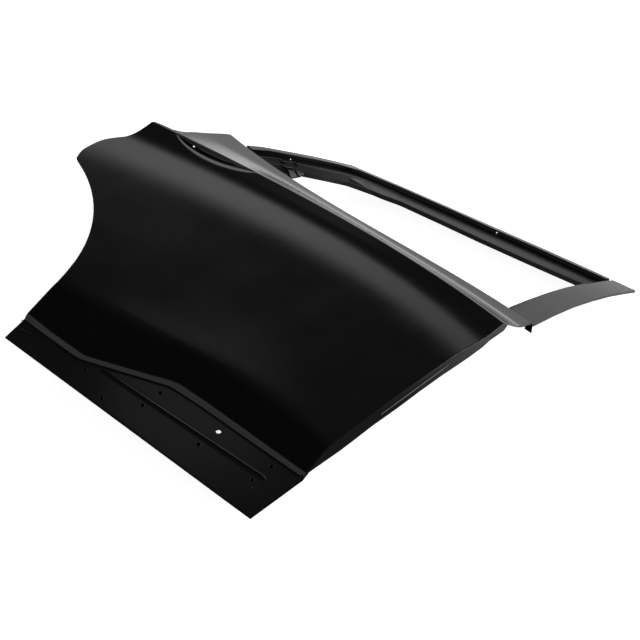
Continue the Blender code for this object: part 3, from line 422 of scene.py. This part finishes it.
def rod(points, radius):
    """Rounded edge that runs through a line of points."""
    made = []
    for a, b in zip(points, points[1:]):
        a, b = Vector(a), Vector(b)
        made.append(add_cylinder(radius, (b - a).length, (a + b) / 2, ROD_SIDES))
        made[-1].rotation_euler = (b - a).to_track_quat("Z", "Y").to_euler()
    return join(made)


def sheet(first, second, wall):
    """Thin sheet between two lines of points."""
    bpy.ops.mesh.primitive_grid_add(x_subdivisions=len(first) - 1, y_subdivisions=1, size=1)
    piece = bpy.context.object
    for vertex, at in zip(piece.data.vertices, list(first) + list(second)):
        vertex.co = at
    apply_modifier(piece, "SOLIDIFY", thickness=wall, offset=-1)
    return piece


def strip(points, width, wall):
    """Narrow strip along a line of points, flat on the door."""
    points = [Vector(p) for p in points]
    last = len(points) - 1
    sides = []
    for i in range(len(points)):
        a, b = points[max(0, i - 1)], points[min(last, i + 1)]
        sides.append(Vector((0, 0, 1)).cross(b - a).normalized() * width / 2)
    return sheet([p - q for p, q in zip(points, sides)], [p + q for p, q in zip(points, sides)], wall)


def join(pieces):
    """One object out of several."""
    bpy.ops.object.select_all(action="DESELECT")
    for piece in pieces:
        piece.select_set(True)
    bpy.context.view_layer.objects.active = pieces[0]
    if len(pieces) > 1:
        bpy.ops.object.join()
    piece = bpy.context.object
    bpy.ops.object.transform_apply(location=True, rotation=True, scale=True)
    return piece


def drill(at, axis, radius):
    """Cutter for a hole that goes through every wall in its way."""
    cutter = add_cylinder(radius, DRILL_LENGTH, at, DRILL_SIDES)
    cutter.rotation_euler = Vector(axis).to_track_quat("Z", "Y").to_euler()
    only(cutter)
    bpy.ops.object.transform_apply(location=True, rotation=True, scale=True)
    return cutter


def cut(piece, cutter):
    """Takes a shape out of a piece."""
    apply_modifier(piece, "BOOLEAN", operation="DIFFERENCE", solver="EXACT", object=cutter)
    bpy.data.objects.remove(cutter, do_unlink=True)


SKIN_SMOOTH = 32.0
FOLD_SMOOTH = 25.0


def smooth(piece, angle):
    """Smooth shading up to an angle between faces."""
    only(piece)
    bpy.ops.object.shade_smooth_by_angle(angle=math.radians(angle))


# Finishes
def linear(code):
    """Linear colour of an sRGB hex value."""
    channels = [int(code[i:i + 2], 16) / 255 for i in (1, 3, 5)]
    return (*[c / 12.92 if c <= 0.04045 else ((c + 0.055) / 1.055) ** 2.4 for c in channels], 1.0)


def node(tree, kind, inputs=None, **settings):
    """Adds a shader node with its settings, values and links."""
    made = tree.nodes.new(kind)
    for name, value in settings.items():
        setattr(made, name, value)
    for name, value in (inputs or {}).items():
        if isinstance(value, bpy.types.NodeSocket):
            tree.links.new(value, made.inputs[name])
        else:
            made.inputs[name].default_value = value
    return made


def new_material(name):
    """Empty material, and its node tree."""
    made = bpy.data.materials.new(name)
    made.use_nodes = True
    made.node_tree.nodes.clear()
    return made, made.node_tree


MM_PER_METRE = 1000.0
COAT_IOR = 1.5
# Size of the patches that differ in gloss, their layers of detail, and how much duller or glossier they are
HAZE_MM = 111.111
HAZE_DETAIL, HAZE_ROUGH = 4.0, 0.6
HAZE_LOW, HAZE_HIGH = 0.3, 0.7
GLOSSIER, DULLER = 0.025, 0.03
PEEL_DETAIL = 2.0


def electrocoat(name, colour, rough, peel_mm, peel_height):
    """Black cathodic electrocoat on pressed steel, dipped and baked.

    It gives the eye an even, semi-gloss black with soft reflections and a faint ripple.
    """
    made, tree = new_material(name)
    where = node(tree, "ShaderNodeTexCoord").outputs["Object"]
    ripple = node(tree, "ShaderNodeTexNoise", {
        "Vector": where, "Scale": MM_PER_METRE / peel_mm, "Detail": PEEL_DETAIL})
    haze = node(tree, "ShaderNodeTexNoise", {
        "Vector": where, "Scale": MM_PER_METRE / HAZE_MM, "Detail": HAZE_DETAIL, "Roughness": HAZE_ROUGH})
    gloss = node(tree, "ShaderNodeMapRange", {
        "Value": haze.outputs["Fac"], "From Min": HAZE_LOW, "From Max": HAZE_HIGH,
        "To Min": rough - GLOSSIER, "To Max": rough + DULLER})
    bump = node(tree, "ShaderNodeBump", {
        "Height": ripple.outputs["Fac"], "Distance": peel_height, "Strength": 1.0})
    shader = node(tree, "ShaderNodeBsdfPrincipled", {
        "Base Color": linear(colour), "Roughness": gloss.outputs["Result"], "Normal": bump.outputs["Normal"],
        "IOR": COAT_IOR})
    node(tree, "ShaderNodeOutputMaterial", {"Surface": shader.outputs["BSDF"]})
    return made


# The skin's coat is the smoothest. The inner panel's is duller, and the rails' is duller and paler: painted
# light, a lighter copy of the same coat for the light the rails catch
SKIN_PEEL = (7.0, 0.000001)
FOLD_PEEL = (5.0, 0.000002)
skin_coat = electrocoat("black_electrocoat_skin", "#0a0a0b", 0.16, *SKIN_PEEL)
inner_coat = electrocoat("black_electrocoat_inner", "#0c0c0d", 0.30, *FOLD_PEEL)
painted_lighter_frame_coat = electrocoat("black_electrocoat_frame_painted_lighter", "#1c1c1e", 0.36, *FOLD_PEEL)

MOTTLE_MM = 2.5
MOTTLE_DETAIL = 3.0
ZINC_GLOSSIEST, ZINC_DULLEST = 0.32, 0.48


def zinc_plate():
    """Zinc plate on weld nuts: bright grey, dulled and mottled by its chromate."""
    made, tree = new_material("zinc_plate")
    where = node(tree, "ShaderNodeTexCoord").outputs["Object"]
    mottle = node(tree, "ShaderNodeTexNoise", {
        "Vector": where, "Scale": MM_PER_METRE / MOTTLE_MM, "Detail": MOTTLE_DETAIL})
    tint = node(tree, "ShaderNodeMapRange", {
        "Value": mottle.outputs["Fac"], "To Min": ZINC_GLOSSIEST, "To Max": ZINC_DULLEST})
    shader = node(tree, "ShaderNodeBsdfPrincipled", {
        "Base Color": linear("#a8a69c"), "Metallic": 1.0, "Roughness": tint.outputs["Result"]})
    node(tree, "ShaderNodeOutputMaterial", {"Surface": shader.outputs["BSDF"]})
    return made


zinc = zinc_plate()


def finish_piece(piece, material, slot, *nodes):
    """Material and body of a new piece, and hides the solids it stands for. Its slot is not used."""
    piece.data.materials.clear()
    piece.data.materials.append(material)
    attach(piece, "root")
    if nodes:
        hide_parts(*nodes)


bpy.ops.object.select_all(action="DESELECT")
skin = pressed_skin()
cutters = [add_cylinder(radius, BULGE, (x, y, float(skin_z(x, y)))) for x, y, radius in CLIP_HOLES]
cut(skin, join(cutters))
cut(skin, drill(*POCKET_HOLE))
skin = join([skin] + [collar(x, y, radius) for x, y, radius in CLIP_HOLES])
place(skin)
smooth(skin, SKIN_SMOOTH)
finish_piece(skin, skin_coat, "primer", "outer_skin")


# Front end of the solid skin, in shares of the bulge, where the pressed one is fuller
SOLID_FRONT = {
    "sill": 0.0, "low": 0.12, "top": 0.46, "flare": 0.90, "band": 0.94, "body": 0.99, "shoulder": 1.01,
    "groove": 0.79, "crease": 1.18, "waist": 0.26, "belt": 0.04,
}
# Where the inner panel starts to rise with it, over what length, and how deep below the skin the rise reaches
LIFT_FROM, LIFT_RUN = 0.50, 0.14
LIFT_DEPTH = 0.045
TUCK_GAP = 0.0003


def lift(x, y, z):
    """How far a point of the inner panel goes up with the front end of the skin."""
    ys = [float(line_y(name, SILL_LENGTH)) for name in LINES]
    rises = [BULGE * (float(curves[name][1](SILL_LENGTH)) - SOLID_FRONT[name]) for name in LINES]
    share = mesh_step((x - LIFT_FROM) / LIFT_RUN) * mesh_step((z + LIFT_DEPTH) / LIFT_DEPTH)
    return float(np.interp(y, ys, rises) * share)


def fit_to_skin(piece):
    """Brings the inner panel's rim up to the pressed skin, and keeps it from coming through."""
    from_floor = to_floor.inverted()
    normals = [vertex.normal.copy() for vertex in piece.data.vertices]
    for vertex, normal in zip(piece.data.vertices, normals):
        x, y, z = from_floor @ vertex.co
        z += lift(x, y, z)
        if 0 < y < line_y("belt", x) and rear_x(y) < x < front_x(y):
            edge = min(x - rear_x(y), front_x(y) - x, y)
            least = TUCK_GAP + (SKIN_WALL if normal.z < 0 else 0.0)
            top = float(skin_z(x, y) + relief(x, y) - rolled(edge)) - SKIN_WALL
            z = min(z, top - least)
        vertex.co = to_floor @ Vector((x, y, z))
    piece.data.update()


SAME_POINT = 0.00001
FLAT_WITHIN = 0.3
FOLD_OVER = 35.0
FOLD_SEGMENTS = 2


def coat_and_slot(name):
    """Finish of a piece, and its slot in the record."""
    if name.startswith("hinge_nut"):
        return zinc, "zinc"
    if name == "impact_beam":
        return inner_coat, "beam_primer"
    return painted_lighter_frame_coat if name in PAINTED_LIGHTER_PARTS else inner_coat, "primer"


def refined(name, edge, cutters=(), extras=()):
    """A CAD solid with its points merged, its folds rounded and its curves smooth."""
    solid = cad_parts[name]
    piece = bpy.data.objects.new(name + "_pressing", solid.data.copy())
    bpy.context.collection.objects.link(piece)
    only(piece)
    bpy.ops.mesh.customdata_custom_splitnormals_clear()
    bpy.ops.object.mode_set(mode="EDIT")
    bpy.ops.mesh.select_all(action="SELECT")
    bpy.ops.mesh.remove_doubles(threshold=SAME_POINT)
    bpy.ops.mesh.dissolve_limited(angle_limit=math.radians(FLAT_WITHIN))
    bpy.ops.object.mode_set(mode="OBJECT")
    if name == "inner_panel":
        fit_to_skin(piece)
    for cutter in cutters:
        place(cutter)
        cut(piece, cutter)
    for extra in extras:
        place(extra)
    piece = join([piece, *extras])
    smooth(piece, FOLD_SMOOTH)
    if edge:
        apply_modifier(piece, "BEVEL", width=edge, segments=FOLD_SEGMENTS, limit_method="ANGLE",
                       angle_limit=math.radians(FOLD_OVER), harden_normals=True)
    finish_piece(piece, *coat_and_slot(name), name)


# Pieces taken over from the solids, with how wide their folds are rounded
REFINED = {
    "inner_panel": 0.0, "frame_header": 0.0005, "frame_rear_upright": 0.0005, "b_pillar_plate": 0.0004,
    "frame_front_pillar": 0.0004, "frame_front_channel": 0.0003, "frame_front_foot": 0.0004,
    "frame_front_gusset": 0.0004, "frame_front_tab": 0.0004,
    "frame_rear_foot": 0.0004, "rear_glass_run": 0.0003, "belt_rail_outer": 0.0003, "belt_rail_inner": 0.0004,
    "impact_beam": 0.0004, "beam_bracket_front": 0.0004, "beam_bracket_rear": 0.0004,
    "hinge_plate_upper": 0.0006, "hinge_plate_lower": 0.0006, "check_link_plate": 0.0004,
    "latch_plate": 0.0004, "handle_bracket": 0.0004,
    "hinge_nut_upper_high": 0.0004, "hinge_nut_upper_low": 0.0004, "hinge_nut_lower_high": 0.0004,
    "hinge_nut_lower_low": 0.0004,
}
HOLED = {
    "frame_rear_upright": UPRIGHT_HOLE, "frame_header": HEADER_HOLE, "inner_panel": POCKET_HOLE,
    "handle_bracket": POCKET_HOLE, "latch_plate": POCKET_HOLE, "rear_glass_run": POCKET_HOLE,
}
# Parts given the paler coat: painted light, standing in for the light these rails catch
PAINTED_LIGHTER_PARTS = ("frame_header", "frame_rear_upright", "frame_front_channel", "frame_front_gusset")
# Front wall of the inner panel: its lower edge and a fold half-way up, as height up the door and how far out
WALL_LOW = (
    (0.1480, 0.0125), (0.1590, 0.0139), (0.2000, 0.0142), (0.2444, 0.0145), (0.2744, 0.0165),
    (0.3373, 0.0218), (0.4074, 0.0230), (0.4743, 0.0271), (0.5339, 0.0286), (0.6210, 0.0275),
    (0.6650, 0.0300), (0.6850, 0.0350), (0.7000, 0.0420),
)
WALL_FOLD = ((0.3585, 0.0377), (0.4547, 0.0413), (0.5551, 0.0465))
# How far the wall lies behind the skin's edge and starts below it, its thickness, and half the fold's width
WALL_SINK, WALL_DROP = 0.0006, 0.0042
WALL_SHEET = 0.0008
LOW_EDGE = 0.0006
FOLD_RISE = 0.0007


def on_wall(points, out):
    """Points of the front wall, so far out from the skin's front edge."""
    return [(float(front_x(y)) + out, y, z) for y, z in points]


def front_wall():
    """Wall with its fold and turned lower edge."""
    upper = [(y, float(skin_z(front_x(y), y)) - WALL_DROP) for y, _ in WALL_LOW]
    wall = sheet(on_wall(WALL_LOW, -WALL_SINK), on_wall(upper, -WALL_SINK), WALL_SHEET)
    fold = sheet([(x - FOLD_RISE, y, z + FOLD_RISE) for x, y, z in on_wall(WALL_FOLD, 0.0)],
                 [(x + FOLD_RISE, y, z - FOLD_RISE) for x, y, z in on_wall(WALL_FOLD, 0.0)], WALL_SHEET)
    return [wall, fold, rod(on_wall(WALL_LOW, -WALL_SINK), LOW_EDGE)]


for name, edge in REFINED.items():
    holes = [drill(*HOLED[name])] if name in HOLED else []
    refined(name, edge, holes, front_wall() if name == "inner_panel" else [])

# Gusset in the window's lower rear corner: two turned lips, a base and two tabs, one with a square hole
LIPS = (
    ((-0.0965, 0.8201, -0.0135), (-0.0718, 0.8585, -0.0259), (-0.0590, 0.8600, -0.0262),
     (-0.0507, 0.8829, -0.0346), (-0.0378, 0.8842, -0.0349)),
    ((-0.0761, 0.8255, -0.0231), (-0.0583, 0.8501, -0.0308), (-0.0471, 0.8546, -0.0322),
     (-0.0399, 0.8704, -0.0377)),
)
TABS = (
    ((-0.0402, 0.8543, -0.0380), (-0.0410, 0.8714, -0.0441), (-0.0081, 0.8502, -0.0364),
     (-0.0111, 0.8334, -0.0312)),
    ((-0.0419, 0.8780, -0.0466), (-0.0415, 0.8950, -0.0533), (-0.0115, 0.8757, -0.0452),
     (-0.0089, 0.8569, -0.0386)),
)
BASE = (
    (-0.0700, 0.8220, -0.0320), (-0.0440, 0.8840, -0.0540), (-0.0150, 0.8700, -0.0500),
    (-0.0160, 0.8400, -0.0400),
)
LIP_WIDTH, LIP_WALL, TAB_WALL = 0.0026, 0.004, 0.0014
TAB_HOLE_SIDE, TAB_HOLE = 0.0046, (-0.0215, 0.8756, -0.0453)
tabs = [sheet((a, b), (d, c), TAB_WALL) for a, b, c, d in (*TABS, BASE)]
bpy.ops.mesh.primitive_cube_add(size=TAB_HOLE_SIDE, location=TAB_HOLE)
cut(tabs[1], bpy.context.object)
gusset = join(tabs + [strip(lip, LIP_WIDTH, LIP_WALL) for lip in LIPS])
gusset.name = gusset.data.name = "frame_rear_corner_gusset_pressing"
place(gusset)
smooth(gusset, FOLD_SMOOTH)
finish_piece(gusset, painted_lighter_frame_coat, "primer", "frame_rear_corner_gusset")

# Camera, at the photograph's angle
EYE = (2.82189, -3.44844, 3.25384)
TURN = (0.927678, -0.124787, 0.758246)
VIEW_ANGLE = 14.0
SENSOR_WIDTH = 36.0
FARTHEST = 60.0
lens = bpy.data.cameras.new("camera")
lens.sensor_width = SENSOR_WIDTH
lens.lens = lens.sensor_width / 2 / math.tan(math.radians(VIEW_ANGLE / 2))
lens.clip_end = FARTHEST
camera = bpy.data.objects.new("camera", lens)
bpy.context.collection.objects.link(camera)
camera.location = EYE
camera.rotation_euler = Euler(TURN, "XYZ")
bpy.context.scene.camera = camera

# Floor and backdrop
FLOOR_SIZE = 16.0
FLOOR_PLACE = (0, 0, -0.0005)
WHITE = (1, 1, 1, 1)
FLOOR_GLOW = 0.9
# The floor as the coat mirrors it: painted shadow under the door and painted shade on its sill side
CONTACT_REACH, CONTACT_SAMPLES, CONTACT_POWER = 0.4, 8, 2.0
MIRROR_FROM, MIRROR_TO = -0.1, 0.5
MIRROR_DIM, MIRROR_BRIGHT = 0.12, 1.25


def white_paper():
    """Matt white paper sweep: plain white with the door's shadow on it.

    Mirrored in the coat, it glows with a painted shadow close to the door, painted shade on the sill side and
    more glow behind.
    """
    made, tree = new_material("white_floor")
    path = node(tree, "ShaderNodeLightPath")
    matte = node(tree, "ShaderNodeBsdfDiffuse", {"Color": linear("#f2f2f2")})
    # Painted shadow: nearness to the door darkens the floor's glow as the coat mirrors it
    painted_contact_shadow = node(tree, "ShaderNodeAmbientOcclusion", {"Distance": CONTACT_REACH}, samples=CONTACT_SAMPLES)
    near = node(tree, "ShaderNodeMath", {0: painted_contact_shadow.outputs["AO"], 1: CONTACT_POWER}, operation="POWER")
    spot = node(tree, "ShaderNodeSeparateXYZ", {"Vector": node(tree, "ShaderNodeTexCoord").outputs["Object"]})
    # Painted shade: the mirrored glow is dimmer on the sill side and brighter behind
    back = node(tree, "ShaderNodeMapRange", {
        "Value": spot.outputs["Y"], "From Min": MIRROR_FROM, "From Max": MIRROR_TO,
        "To Min": MIRROR_DIM, "To Max": MIRROR_BRIGHT}, interpolation_type="SMOOTHSTEP")
    painted_floor_shade = node(tree, "ShaderNodeMath", {
        0: near.outputs[0], 1: back.outputs["Result"]}, operation="MULTIPLY")
    mirrored = node(tree, "ShaderNodeEmission", {"Color": WHITE, "Strength": painted_floor_shade.outputs[0]})
    lit = node(tree, "ShaderNodeEmission", {"Color": WHITE, "Strength": FLOOR_GLOW})
    seen = node(tree, "ShaderNodeAddShader", {0: matte.outputs[0], 1: lit.outputs[0]})
    in_gloss = node(tree, "ShaderNodeMixShader", {
        "Fac": path.outputs["Is Glossy Ray"], 1: matte.outputs[0], 2: mirrored.outputs[0]})
    mix = node(tree, "ShaderNodeMixShader", {
        "Fac": path.outputs["Is Camera Ray"], 1: in_gloss.outputs[0], 2: seen.outputs[0]})
    node(tree, "ShaderNodeOutputMaterial", {"Surface": mix.outputs[0]})
    return made


bpy.ops.object.select_all(action="DESELECT")
bpy.ops.mesh.primitive_plane_add(size=FLOOR_SIZE, location=FLOOR_PLACE)
floor = bpy.context.object
floor.name = "floor"
floor.data.materials.append(white_paper())

# World: white to the camera, and a studio that is bright low down, dark overhead and dimmer on the sill side
SKY_LEVELS = (
    (0.0, 0.6), (0.1, 0.8), (0.5, 1.45), (0.55, 0.95), (0.59, 0.45), (0.635, 0.11), (0.68, 0.05), (1.0, 0.05),
)
SILL_SIDE, BACK_SIDE, SILL_SIDE_LEVEL = -0.2, 0.4, 0.45
# Colour sockets of a mix node
MIX_A, MIX_B, MIX_OUT = 6, 7, 2
world = bpy.data.worlds.new("studio")
bpy.context.scene.world = world
world.use_nodes = True
tree = world.node_tree
tree.nodes.clear()
path = node(tree, "ShaderNodeLightPath")
where = node(tree, "ShaderNodeTexCoord").outputs["Generated"]
way = node(tree, "ShaderNodeSeparateXYZ", {"Vector": where})
level = node(tree, "ShaderNodeValToRGB", {"Fac": way.outputs["Z"]})
towards_back = node(tree, "ShaderNodeMapRange", {
    "Value": way.outputs["Y"], "From Min": SILL_SIDE, "From Max": BACK_SIDE,
    "To Min": SILL_SIDE_LEVEL, "To Max": 1.0}, interpolation_type="SMOOTHSTEP")
dim = node(tree, "ShaderNodeVectorMath", {0: level.outputs["Color"], "Scale": towards_back.outputs["Result"]},
           operation="SCALE")
sky_points = level.color_ramp.elements
while len(sky_points) < len(SKY_LEVELS):
    sky_points.new(0.5)
for element, (position, value) in zip(sky_points, SKY_LEVELS):
    element.position = position
    element.color = (value, value, value, 1)
white = node(tree, "ShaderNodeMix", {"Factor": path.outputs["Is Camera Ray"]}, data_type="RGBA")
tree.links.new(dim.outputs["Vector"], white.inputs[MIX_A])
white.inputs[MIX_B].default_value = WHITE
sky = node(tree, "ShaderNodeBackground", {"Color": white.outputs[MIX_OUT], "Strength": 1.0})
node(tree, "ShaderNodeOutputWorld", {"Surface": sky.outputs[0]})


def softbox(name, at, towards, width, depth, power):
    """Large soft lamp."""
    light = bpy.data.lights.new(name, "AREA")
    light.shape = "RECTANGLE"
    light.size, light.size_y, light.energy = width, depth, power
    lamp = bpy.data.objects.new(name, light)
    bpy.context.collection.objects.link(lamp)
    lamp.location = at
    lamp.rotation_euler = (Vector(towards) - Vector(at)).to_track_quat("-Z", "Y").to_euler()
    return lamp


# Lamps: name, place, what they point at, width, depth and power
LAMPS = (
    ("overhead", (-1.65, 1.05, 2.8), (0, 0, 0), 0.55, 0.35, 0.14),
    ("front_edge", (2.4, 2.28, 2.24), (0.45, -0.1, 0.05), 0.7, 0.7, 45),
    ("camera_side", (2.6, -2.2, 2.6), (0, 0, 0), 2.4, 2.4, 4),
)
for lamp_values in LAMPS:
    softbox(*lamp_values)

bpy.context.scene.view_settings.view_transform = "Standard"
